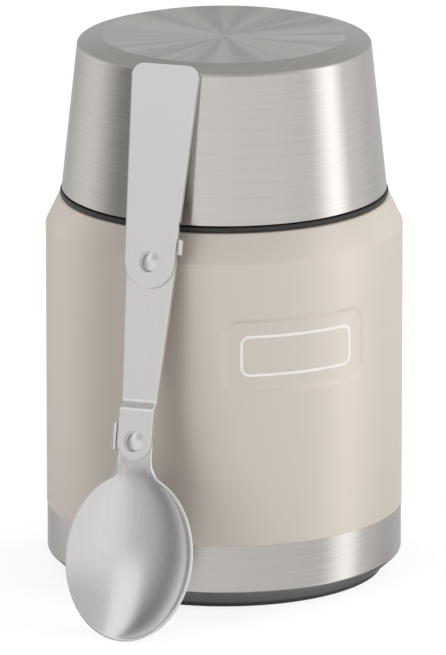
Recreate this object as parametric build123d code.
from build123d import *
import os
from math import atan2, cos, radians, sin, sqrt, tan

# Insulated food jar of about half a litre: a double-walled steel vacuum vessel, a screw-in plastic
# stopper, a steel lid lined as a serving bowl, and a folding steel spoon that leans on the lid.
# Millimetres, +Z up.  The origin is the centre of the base pad on the table; the front is -Y.

# ---- Jar body -----------------------------------------------------------------------------------
body_diameter = 95.2
coat_thickness = 0.15  # powder coat over the upper wall; it stops above the bare base band
coat_edge_height = 18.15
shoulder_height = 94.9  # where the straight wall turns into the shoulder
shoulder_rise = 7.7
shoulder_inset = 3.7
shoulder_round = 0.9
outer_wall = 0.6
foot_chamfer_width = 4.65
foot_chamfer_height = 4.3
foot_round = 0.8
base_flange_width = 2.2  # lip turned in under the base plate
ledge_width = 7.9  # flat ring from the shoulder to the neck
neck_rise = 15.4  # from the shoulder ledge to the lip

# Badge panel: a shallow pressed field with plain round corners
panel_azimuth = 25.0  # degrees to the right of the front
panel_drop = 24.9  # from the shoulder's edge to the middle of the panel
panel_width = 42.0
panel_height = 19.0
panel_corner = 4.5
panel_depth = 0.45
panel_backing = 1.3  # how much wider the pressed metal is behind the field, all round

# ---- Inner vessel and what the vacuum space holds -----------------------------------------------
inner_wall = 0.6
vacuum_gap = 3.0
food_floor_height = 10.0
food_floor_round = 9.0
food_cone_height = 9.5  # from the food space's wall up to its throat
food_shoulder_round = 4.0
lip_width = 2.1
lip_round = 1.2
mouth_depth = 17.0  # from the lip down to the gasket's seat
seat_width = 1.5  # conical seat between the mouth and the throat
throat_length = 2.0
foil_thickness = 0.15
foil_gap = 0.3
foil_margin = 9.0  # bare vessel above and below the foil
getter_diameter = 11.0
getter_height = 2.4
getter_rim = 1.0
getter_offset = 21.0

# ---- Base ---------------------------------------------------------------------------------------
pad_thickness = 1.1
pad_edge_inset = 0.35
pad_edge_round = 0.4
base_plate_wall = 0.6
base_plate_gap = 0.35
dimple_diameter = 20.0
dimple_depth = 1.6
dimple_slope = 2.0
seal_diameter = 9.0
seal_thickness = 0.8

# ---- Stopper ------------------------------------------------------------------------------------
seat_gap = 0.3  # between pieces of different bodies that seat on each other
thread_gap = 1.1  # radial room for the two threads
stopper_wall = 1.5
flange_setback = 0.15  # the dark ring under the lid, inside the shoulder's ledge
flange_thickness = 1.15
flange_round = 0.4
roof_thickness = 2.0
roof_round = 0.7
plug_gap = 0.4
plug_wall = 1.6
recess_margin = 2.4  # between the plug's inside and the recess
recess_depth = 8.0
recess_draft = 1.0
recess_floor = 1.8
recess_round = 1.5
grip_width = 9.0
grip_drop = 0.6  # the grip bar stays below the roof
grip_round = 2.0
gasket_section = 2.6
gasket_height = 2.1
gasket_round = 0.6
cover_flange = 1.3
cover_spigot = 2.4
foam_gap = 0.25

# ---- Lid ----------------------------------------------------------------------------------------
lid_wall = 0.6
lid_setback = 0.4  # the lid's edge, inside the dark ring
lid_side_height = 39.9  # from the lid's edge to the corner of its top
lid_taper = 6.1  # degrees
lid_crown_rise = 1.8  # sloping ring between the corner and the spun disc
crown_width = 6.54
disc_dish = 0.5
lid_corner_round = 1.0
lid_hem_round = 0.25
liner_wall = 1.4
liner_skirt_wall = 1.0
liner_flange = 1.2
liner_step_width = 2.8  # from the thread skirt in to the bowl's rim
liner_ceiling_drop = 5.8  # from the top of the disc's edge to the bowl's floor
liner_draft = 6.3  # degrees
liner_bowl_round = 6.0
lid_seal_width = 2.2
lid_seal_height = 1.5
lid_seal_round = 0.5

# ---- Folding spoon ------------------------------------------------------------------------------
sheet = 1.2
play = 0.1  # between two leaves of the fold
fold_length = 47.3  # between the two rivets
handle_overhang = 2.5  # the handle's end above the corner of the lid it leans on
handle_end_width = 19.2
handle_corner = 3.6
handle_pivot_width = 14.0
link_pivot_width = 14.0
link_end_width = 9.7
joggle_start = 8.7  # above the lower rivet
joggle_length = 2.0
neck_width = 9.4
neck_flat = 6.0  # from the lower rivet to the bend into the bowl
neck_ramp = 4.2  # level length of the slope from the neck into the dish
neck_drop = 2.6
neck_fillet = 3.0
bowl_length = 44.6
bowl_width = 36.0
bowl_start = 8.0  # from the lower rivet to the bowl's upper edge
bowl_depth = 6.0
bowl_wall = 0.95
bowl_rim = 0.6
bowl_lift = 0.35  # how far the dish is cut above its deepest section, as a share of its height
rim_set_back = 1.75  # the rim stays behind the link when the bowl is folded
ear_thickness = 1.1
ear_gap = 0.25
ear_rise = 0.2  # above the leaf that it stops
low_ear_top = 4.5
low_ear_bottom = 2.8
high_ear_top = 6.7
high_ear_bottom = 2.6
rivet_shank = 3.0
rivet_head = 5.8
rivet_dome = 1.1
rivet_tail = 5.0
rivet_tail_height = 0.4
running_gap = 0.05
edge_break = 0.2

# How the spoon leans on the lid
spoon_azimuth = -22.4  # degrees from the front, towards -X
spoon_lean = 16.2  # degrees back from upright
spoon_tilt = 1.3  # degrees in its own plane, the handle towards -X
spoon_shift = 2.15  # of the lower rivet along the plane, towards +X

# ---- Values worked out from those above ---------------------------------------------------------
body_radius = body_diameter / 2
band_radius = body_radius - coat_thickness
foot_radius = band_radius - foot_chamfer_width
foot_opening = foot_radius - base_flange_width
chamfer_top = pad_thickness + foot_chamfer_height
ledge_height = shoulder_height + shoulder_rise
ledge_radius = body_radius - shoulder_inset
neck_radius = ledge_radius - ledge_width
lip_height = ledge_height + neck_rise
vessel_radius = band_radius - outer_wall - vacuum_gap
panel_centre_height = shoulder_height - panel_drop
food_radius = vessel_radius - inner_wall
mouth_radius = neck_radius - lip_width
throat_radius = mouth_radius - seat_width
seat_top = lip_height - mouth_depth
seat_bottom = seat_top - seat_width  # the seat is a 45 degree cone
throat_height = seat_bottom - throat_length
food_shoulder_height = throat_height - food_cone_height

plate_bottom = pad_thickness + outer_wall
plate_top = plate_bottom + base_plate_wall

skirt_inside = neck_radius + thread_gap
skirt_outside = skirt_inside + stopper_wall
flange_radius = ledge_radius - flange_setback
flange_bottom = ledge_height + seat_gap
flange_top = flange_bottom + flange_thickness
roof_bottom = lip_height + seat_gap
roof_top = roof_bottom + roof_thickness
plug_radius = mouth_radius - plug_gap
plug_inside = plug_radius - plug_wall
recess_radius = plug_inside - recess_margin
recess_bottom = roof_top - recess_depth
foam_top = recess_bottom - recess_floor
gasket_bottom = seat_top + seat_gap / 2
plug_bottom = gasket_bottom + gasket_height + running_gap
gasket_outside = plug_radius
gasket_inside = gasket_outside - gasket_section
cover_radius = throat_radius - plug_gap
cover_top = gasket_bottom - running_gap

lid_bottom = flange_top + seat_gap
lid_foot_radius = flange_radius - lid_setback
lid_corner_height = lid_bottom + lid_side_height
lid_corner_radius = lid_foot_radius - lid_side_height * tan(radians(lid_taper))
disc_radius = lid_corner_radius - crown_width
disc_height = lid_corner_height + lid_crown_rise
liner_skirt_inside = skirt_outside + thread_gap
seal_bottom = roof_top + seat_gap
seal_top = seal_bottom + lid_seal_height
liner_step = seal_top + running_gap
bowl_mouth_radius = liner_skirt_inside - liner_step_width
ceiling_height = disc_height - liner_ceiling_drop
bowl_floor_radius = bowl_mouth_radius - (ceiling_height - liner_step) * tan(radians(liner_draft))
liner_skirt_outside = liner_skirt_inside + liner_skirt_wall

leaf = sheet + play  # from the back of one leaf to the back of the next
spoon_tip = bowl_start + bowl_length  # below the lower rivet
bowl_centre = spoon_tip - bowl_length / 2
set_back_drop = (rim_set_back + leaf) * sin(radians(spoon_lean))
spoon_length = (lid_corner_height + handle_overhang - set_back_drop) / cos(radians(spoon_lean))
handle_length = spoon_length - spoon_tip - fold_length  # from the upper rivet to the end
handle_half = handle_pivot_width / 2
link_half = link_end_width / 2
joggle_top = joggle_start + joggle_length


# ---- Helpers ------------------------------------------------------------------------------------
def turned(*corners):
    """A solid turned about Z from a closed outline of (radius, height) or (radius, height, round)."""
    points = [corner[:2] for corner in corners]
    rounds = [corner[2] if len(corner) > 2 else 0 for corner in corners]
    outline = FilletPolyline(*points, radius=rounds, close=True)
    return revolve(make_face(Plane.XZ * outline), Axis.Z)


def mitred(path, distance):
    """The points of a path moved to its left by a distance, with mitred corners."""
    points = [Vector(*corner[:2]) for corner in path]
    legs = [(end - start).normalized() for start, end in zip(points, points[1:])]
    sides = [Vector(-leg.Y, leg.X) for leg in legs]
    before = [sides[0], *sides]
    after = [*sides, sides[-1]]
    moved = []
    for point, one, two in zip(points, before, after):
        shift = (one + two) * (distance / (1 + one.dot(two)))
        moved.append((point.X + shift.X, point.Y + shift.Y))
    return moved


def pressed(path, wall):
    """A turned sheet of one thickness: path is the seen face, the metal lies to its left."""
    return turned(*path, *reversed(mitred(path, wall)))


def disc(radius, bottom, top):
    """A plain turned disc."""
    return turned((0, bottom), (radius, bottom), (radius, top), (0, top))


def ring(inside, outside, bottom, top, rounding=0.0):
    """A plain ring of rectangular section with rounded corners."""
    corners = [(inside, bottom), (outside, bottom), (outside, top), (inside, top)]
    return turned(*[(radius, height, rounding) for radius, height in corners])


def lid_radius_at(height):
    """Outer radius of the tapered lid at a height."""
    return lid_foot_radius - (height - lid_bottom) * tan(radians(lid_taper))


def lid_reach(lean):
    """How far the lid's rounded corner reaches along a direction raised by an angle."""
    taper = radians(lid_taper)
    crown = atan2(lid_crown_rise, lid_corner_radius - disc_radius)
    half_turn = (radians(90) - taper - crown) / 2
    inset = lid_corner_round / cos(half_turn)
    centre_radius = lid_corner_radius - inset * cos(taper + half_turn)
    centre_height = lid_corner_height - inset * sin(taper + half_turn)
    return centre_radius * cos(lean) + centre_height * sin(lean) + lid_corner_round


# ---- Jar ----------------------------------------------------------------------------------------
def panel_block(margin, inside, outside):
    """Part of a tube wall under the badge field, grown by a margin all round."""
    field = RectangleRounded(
        panel_width + 2 * margin,
        panel_height + 2 * margin,
        panel_corner + margin,
    )
    prism = extrude(Plane.XZ * Pos(0, panel_centre_height) * field, amount=body_diameter)
    tube_height = 2 * panel_height
    tube = Cylinder(outside, tube_height) - Cylinder(inside, tube_height)
    wall = Pos(0, 0, panel_centre_height) * tube & prism
    return Rot(0, 0, panel_azimuth) * wall


def outer_shell():
    """Outer wall: bare base band, coated side, conical shoulder, ledge and neck."""
    seen_face = [
        (foot_opening, pad_thickness),
        (foot_radius, pad_thickness, foot_round),
        (band_radius, chamfer_top, foot_round),
        (band_radius, coat_edge_height),
        (body_radius, coat_edge_height),
        (body_radius, shoulder_height, shoulder_round),
        (ledge_radius, ledge_height, shoulder_round),
        (neck_radius, ledge_height, shoulder_round),
        (neck_radius, lip_height - inner_wall),
    ]
    # The metal itself has no step where the coat ends.
    metal = [corner for corner in seen_face if corner[1] != coat_edge_height]
    metal = [(min(corner[0], band_radius), corner[1]) for corner in metal]
    wall = turned(*seen_face, *reversed(mitred(metal, outer_wall)))
    floor_radius = body_radius - panel_depth
    backing_radius = floor_radius - outer_wall
    wall += panel_block(panel_backing, backing_radius, band_radius - outer_wall / 2)
    return wall - panel_block(0, floor_radius, body_radius + panel_depth)


def inner_vessel():
    """Food vessel with a narrowed throat, welded to the neck by its rolled lip."""
    food_face = [
        (0, food_floor_height),
        (food_radius, food_floor_height, food_floor_round),
        (food_radius, food_shoulder_height, food_shoulder_round),
        (throat_radius, throat_height),
        (throat_radius, seat_bottom),
        (mouth_radius, seat_top),
        (mouth_radius, lip_height, lip_round),
        (neck_radius, lip_height),
    ]
    return pressed(food_face, -inner_wall)


def radiation_foil():
    """Copper foil wrapped round the vessel inside the vacuum."""
    inside = vessel_radius + foil_gap
    bottom = food_floor_height + foil_margin
    return ring(inside, inside + foil_thickness, bottom, food_shoulder_height - foil_margin)


def base_plate():
    """Closing disc welded inside the foot, dimpled where the jar is pumped out."""
    edge = foot_radius - base_plate_gap
    dimple = dimple_diameter / 2
    under_face = [
        (0, plate_bottom + dimple_depth),
        (dimple - dimple_slope, plate_bottom + dimple_depth),
        (dimple, plate_bottom),
        (edge, plate_bottom),
    ]
    return pressed(under_face, base_plate_wall)


def vacuum_seal():
    """Solder bead that closes the pumping hole, up inside the dimple."""
    top = plate_bottom + dimple_depth
    radius = seal_diameter / 2
    return turned((0, top), (radius, top), (radius, top - seal_thickness, 0.5), (0, top - seal_thickness))


def getter():
    """Gas-absorbing pellet in its cup, on the base plate inside the vacuum."""
    radius = getter_diameter / 2
    cup = turned(
        (0, plate_top),
        (radius, plate_top),
        (radius, plate_top + getter_height),
        (radius - getter_rim, plate_top + getter_height),
        (radius - getter_rim, plate_top + getter_height / 2),
        (0, plate_top + getter_height / 2),
    )
    return Pos(getter_offset, 0, 0) * cup


def base_pad():
    """Non-slip pad under the base, with a boss that locates it in the foot's opening."""
    edge = foot_radius - pad_edge_inset
    boss = foot_opening - pad_edge_inset
    hollow = dimple_diameter / 2 + pad_edge_inset
    return turned(
        (0, 0),
        (edge, 0, pad_edge_round),
        (edge, pad_thickness),
        (boss, pad_thickness),
        (boss, plate_bottom),
        (hollow, plate_bottom),
        (hollow, pad_thickness),
        (0, pad_thickness),
    )


# ---- Stopper ------------------------------------------------------------------------------------
def stopper_body():
    """Moulded cap: skirt over the neck, plug in the mouth, recess with a grip bar on top."""
    recess_foot = recess_radius - recess_draft
    cap = turned(
        (0, foam_top),
        (plug_inside, foam_top),
        (plug_inside, plug_bottom),
        (plug_radius, plug_bottom),
        (plug_radius, roof_bottom),
        (skirt_inside, roof_bottom),
        (skirt_inside, flange_bottom),
        (flange_radius, flange_bottom, flange_round),
        (flange_radius, flange_top, flange_round),
        (skirt_outside, flange_top),
        (skirt_outside, roof_top, roof_round),
        (recess_radius, roof_top, roof_round),
        (recess_foot, recess_bottom, recess_round),
        (0, recess_bottom),
    )
    bar_height = recess_depth - grip_drop
    bar = extrude(RectangleRounded(2 * recess_radius + 1, grip_width, grip_round), amount=bar_height)
    top_edges = bar.edges().group_by(Axis.Z)[-1]
    bar = Pos(0, 0, recess_bottom) * fillet(top_edges, grip_round / 2)
    reach = Pos(0, 0, recess_bottom + bar_height / 2) * Cylinder(recess_radius + 0.5, bar_height)
    return cap + (bar & reach)


def stopper_cover():
    """Lower cover that closes the plug and holds the gasket."""
    hub = gasket_inside - running_gap
    return turned(
        (0, cover_top - cover_flange),
        (cover_radius, cover_top - cover_flange, cover_flange / 3),
        (cover_radius, cover_top),
        (hub, cover_top),
        (hub, plug_bottom),
        (plug_inside, plug_bottom),
        (plug_inside, plug_bottom + cover_spigot),
        (0, plug_bottom + cover_spigot),
    )


def stopper_foam():
    """Foam disc inside the plug."""
    radius = plug_inside - foam_gap
    return disc(radius, plug_bottom + cover_spigot + foam_gap, foam_top - foam_gap)


def stopper_gasket():
    """Silicone ring in the groove under the plug."""
    top = gasket_bottom + gasket_height
    return ring(gasket_inside, gasket_outside, gasket_bottom, top, gasket_round)


# ---- Lid ----------------------------------------------------------------------------------------
def lid_shell():
    """Drawn steel cover: tapered side, sloping crown ring and a slightly dished spun disc."""
    seen_face = [
        (lid_foot_radius, lid_bottom),
        (lid_corner_radius, lid_corner_height, lid_corner_round),
        (disc_radius, disc_height),
        (0, disc_height - disc_dish),
    ]
    shell = pressed(seen_face, lid_wall)
    hem = shell.edges().filter_by(GeomType.CIRCLE).group_by(Axis.Z)[0]
    return fillet(hem, lid_hem_round)


def lid_liner():
    """Moulded serving bowl with the thread skirt that grips the stopper."""
    outside_step = liner_step + liner_wall
    under_shell = lid_radius_at(outside_step) - lid_wall - 3 * running_gap
    floor_outside = bowl_floor_radius + liner_wall
    return turned(
        (liner_skirt_inside, lid_bottom + running_gap),
        (liner_skirt_inside, liner_step),
        (bowl_mouth_radius, liner_step, 0.5),
        (bowl_floor_radius, ceiling_height, liner_bowl_round),
        (0, ceiling_height),
        (0, ceiling_height + liner_wall),
        (floor_outside, ceiling_height + liner_wall, liner_bowl_round + liner_wall),
        (bowl_mouth_radius + liner_wall, outside_step),
        (under_shell - liner_skirt_wall, outside_step),
        (liner_skirt_outside, liner_step),
        (liner_skirt_outside, lid_bottom + liner_flange),
        (lid_radius_at(lid_bottom + liner_flange) - 2 * lid_wall, lid_bottom + liner_flange),
        (lid_foot_radius - 2 * lid_wall, lid_bottom + running_gap),
    )


def lid_foam():
    """Insulating moulding between the shell and the liner."""
    bottom = liner_step + liner_wall + foam_gap
    ceiling = ceiling_height + liner_wall + foam_gap
    shell_ceiling = lid_corner_height - lid_wall - foam_gap
    inner_top = bowl_floor_radius + liner_wall + foam_gap
    return turned(
        (0, ceiling),
        (inner_top, ceiling, liner_bowl_round + liner_wall),
        (bowl_mouth_radius + liner_wall + foam_gap, bottom),
        (lid_radius_at(bottom) - lid_wall - foam_gap, bottom),
        (lid_radius_at(shell_ceiling) - lid_wall - foam_gap, shell_ceiling, lid_corner_round),
        (0, shell_ceiling),
    )


def lid_seal():
    """Silicone ring under the liner's step, on the stopper's roof."""
    inside = bowl_mouth_radius + 2 * running_gap
    return ring(inside, inside + lid_seal_width, seal_bottom, seal_top, lid_seal_round)


# ---- Spoon, flat in its own frame: x across, y up the handle, z towards the front ---------------
# The lower rivet is the origin; z = 0 is the front face of the back leaf.
def tapered_strip(top, top_half, bottom_half):
    """A strip from y = 0 to the top, straight sides, symmetrical about x = 0."""
    corners = [(-bottom_half, 0), (bottom_half, 0), (top_half, top), (-top_half, top)]
    return make_face(Polyline(*corners, close=True))


def broken_front(plate):
    """The plate with its front edges lightly rounded."""
    return fillet(plate.faces().sort_by(Axis.Z)[-1].outer_wire().edges(), edge_break)


def rivet_hole(radius):
    """A cutter for a rivet hole through every leaf."""
    return Cylinder(radius, 8 * leaf)


def spoon_handle():
    """Flat handle leaf with a round pivot end and rounded corners."""
    outline = tapered_strip(handle_length, handle_end_width / 2, handle_half)
    outline = fillet(outline.vertices().group_by(Axis.Y)[-1], handle_corner)
    outline += Circle(handle_half)
    plate = broken_front(extrude(outline, amount=sheet))
    plate = Pos(0, fold_length, play) * plate
    return plate - Pos(0, fold_length) * rivet_hole(rivet_shank / 2 + running_gap)


def ear(side, inside, bottom, top):
    """A stop tab at the edge of a back leaf, bent forward past the leaf it stops, with its root.

    side is -1 for left and 1 for right; inside is the stop face's distance from the middle.
    """
    height = top - bottom
    outside = inside + ear_thickness
    forward = leaf + ear_rise
    tab = Box(ear_thickness, height, forward + sheet)
    tab = Pos(inside + ear_thickness / 2, 0, (forward - sheet) / 2) * tab
    tab = fillet(tab.edges().filter_by(Axis.X).group_by(Axis.Z)[-1], height / 8)
    root = Pos(outside / 2, 0, -sheet / 2) * Box(outside, height, sheet)
    both = Pos(0, (top + bottom) / 2, 0) * (tab + root)
    return both if side > 0 else mirror(both, Plane.YZ)


def spoon_link():
    """Middle leaf: its upper end lies behind the handle, its lower end steps in front of the neck."""
    taper = tapered_strip(fold_length - joggle_top, link_pivot_width / 2, link_half)
    outline = Pos(0, joggle_top) * taper
    outline += Pos(0, joggle_top / 2) * Rectangle(link_end_width, joggle_top)
    outline += Pos(0, fold_length) * Circle(link_pivot_width / 2) + Circle(link_half)
    reach = fold_length + link_pivot_width
    front_face = [
        (-link_end_width, leaf),
        (joggle_start, leaf),
        (joggle_top, 0),
        (reach, 0),
    ]
    side_view = Polyline(*front_face, *reversed(mitred(front_face, -sheet)), close=True)
    strip = extrude(make_face(Plane.YZ * side_view), amount=link_pivot_width, both=True)
    link = strip & Pos(0, 0, -reach / 2) * extrude(outline, amount=reach)
    pivot_holes = rivet_hole(rivet_shank / 2) + Pos(0, fold_length) * rivet_hole(rivet_shank / 2)
    handle_edge = handle_half + (handle_end_width / 2 - handle_half) * high_ear_top / handle_length
    stop = ear(1, handle_edge + ear_gap, high_ear_bottom, high_ear_top)
    return link + Pos(0, fold_length) * stop - pivot_holes


def dish(length, width, depth, rise):
    """An ellipsoid cut so that its section at height z = 0 is length by width and it is depth deep."""
    half_height = depth + rise
    spread = 1 / sqrt(1 - (rise / half_height) ** 2)
    ball = scale(Sphere(1), by=(spread * width / 2, spread * length / 2, half_height))
    return Pos(0, 0, rise) * ball


def spoon_bowl():
    """Pressed bowl with its flat neck, sloped back so that the rim clears the folded link."""
    rise = bowl_depth * bowl_lift / (1 - bowl_lift)
    rim_plane = Pos(0, -bowl_centre, -rim_set_back)
    outside = dish(bowl_length, bowl_width, bowl_depth, rise)
    inside = dish(bowl_length - 2 * bowl_rim, bowl_width - 2 * bowl_rim, bowl_depth - bowl_wall, rise)
    below_rim = Pos(0, 0, -bowl_length / 2) * Box(2 * bowl_width, 2 * bowl_length, bowl_length)
    shell = rim_plane * ((outside & below_rim) - inside)

    # The slope runs from the flat neck through the rim to the inner face of the dish.
    slope = [
        (neck_width, 0),
        (-neck_flat, 0),
        (-neck_flat - neck_ramp, -neck_drop),
    ]
    over_slope = [*slope, (slope[-1][0], bowl_depth), (neck_width, bowl_depth)]
    channel_half = neck_width / 2 - bowl_rim
    channel = extrude(make_face(Plane.YZ * Polyline(*over_slope, close=True)), amount=channel_half, both=True)
    under_slope = Polyline(*slope, *reversed(mitred(slope, sheet)), close=True)
    sheet_strip = extrude(make_face(Plane.YZ * under_slope), amount=bowl_width, both=True)

    blank = Pos(0, -bowl_centre) * Ellipse(bowl_width / 2, bowl_length / 2)
    blank += Pos(0, -bowl_centre / 2) * Rectangle(neck_width, bowl_centre)
    joins = [v for v in blank.vertices() if -bowl_centre < v.Y < -neck_width / 2]
    blank = fillet(joins, neck_fillet) + Circle(neck_width / 2)
    prism = Pos(0, 0, -bowl_width / 2) * extrude(blank, amount=bowl_width)
    neck = (sheet_strip & prism) - rim_plane * inside
    stop = ear(-1, link_half + ear_gap, -low_ear_bottom, low_ear_top)
    return (shell - channel) + neck + stop - rivet_hole(rivet_shank / 2 + running_gap)


def rivet(front, back):
    """A rivet through two leaves, domed in front and flat behind; front and back are seen faces."""
    head = rivet_head / 2
    dome_radius = (head**2 + rivet_dome**2) / (2 * rivet_dome)
    base = front + running_gap
    dome = Pos(0, 0, base + rivet_dome - dome_radius) * Sphere(dome_radius)
    dome &= Pos(0, 0, base + rivet_dome) * Box(2 * rivet_head, 2 * rivet_head, 2 * rivet_dome)
    tail_face = back - running_gap
    tail = Pos(0, 0, tail_face - rivet_tail_height / 2) * Cylinder(rivet_tail / 2, rivet_tail_height)
    length = base - tail_face
    shank = Pos(0, 0, (base + tail_face) / 2) * Cylinder(rivet_shank / 2, length)
    return dome + tail + shank


def upper_rivet():
    """Pivot of the handle."""
    return Pos(0, fold_length) * rivet(play + sheet, -sheet)


def lower_rivet():
    """Pivot of the bowl."""
    return rivet(leaf, -sheet)


def spoon_pieces():
    """The spoon's pieces, leaned on the lid's corner with the bowl's tip on the table."""
    azimuth = radians(spoon_azimuth)
    lean = radians(spoon_lean)
    outward = Vector(sin(azimuth), -cos(azimuth), 0)
    across = Vector(cos(azimuth), sin(azimuth), 0)
    front = outward * cos(lean) + Vector(0, 0, sin(lean))
    up = front.cross(across)
    start = front * (lid_reach(lean) + seat_gap - play) + across * spoon_shift
    frame = Plane(origin=start, x_dir=across, z_dir=front).location * Rot(0, 0, spoon_tilt)
    leaned = {
        "spoon_bowl": frame * spoon_bowl(),
        "spoon_link": frame * spoon_link(),
        "spoon_handle": frame * spoon_handle(),
        "upper_rivet": frame * upper_rivet(),
        "lower_rivet": frame * lower_rivet(),
    }
    lowest = leaned["spoon_bowl"].bounding_box().min.Z
    slide = up * ((running_gap - lowest) / up.Z)
    return {name: Pos(*slide) * piece for name, piece in leaned.items()}


# ---- Assembly -----------------------------------------------------------------------------------
pieces = {
    "outer_shell": outer_shell(),
    "inner_vessel": inner_vessel(),
    "radiation_foil": radiation_foil(),
    "base_plate": base_plate(),
    "vacuum_seal": vacuum_seal(),
    "getter": getter(),
    "base_pad": base_pad(),
    "stopper_body": stopper_body(),
    "stopper_cover": stopper_cover(),
    "stopper_foam": stopper_foam(),
    "stopper_gasket": stopper_gasket(),
    "lid_shell": lid_shell(),
    "lid_liner": lid_liner(),
    "lid_foam": lid_foam(),
    "lid_seal": lid_seal(),
    **spoon_pieces(),
}

os.makedirs("parts", exist_ok=True)
for name, piece in pieces.items():
    export_step(piece, f"parts/{name}.step")
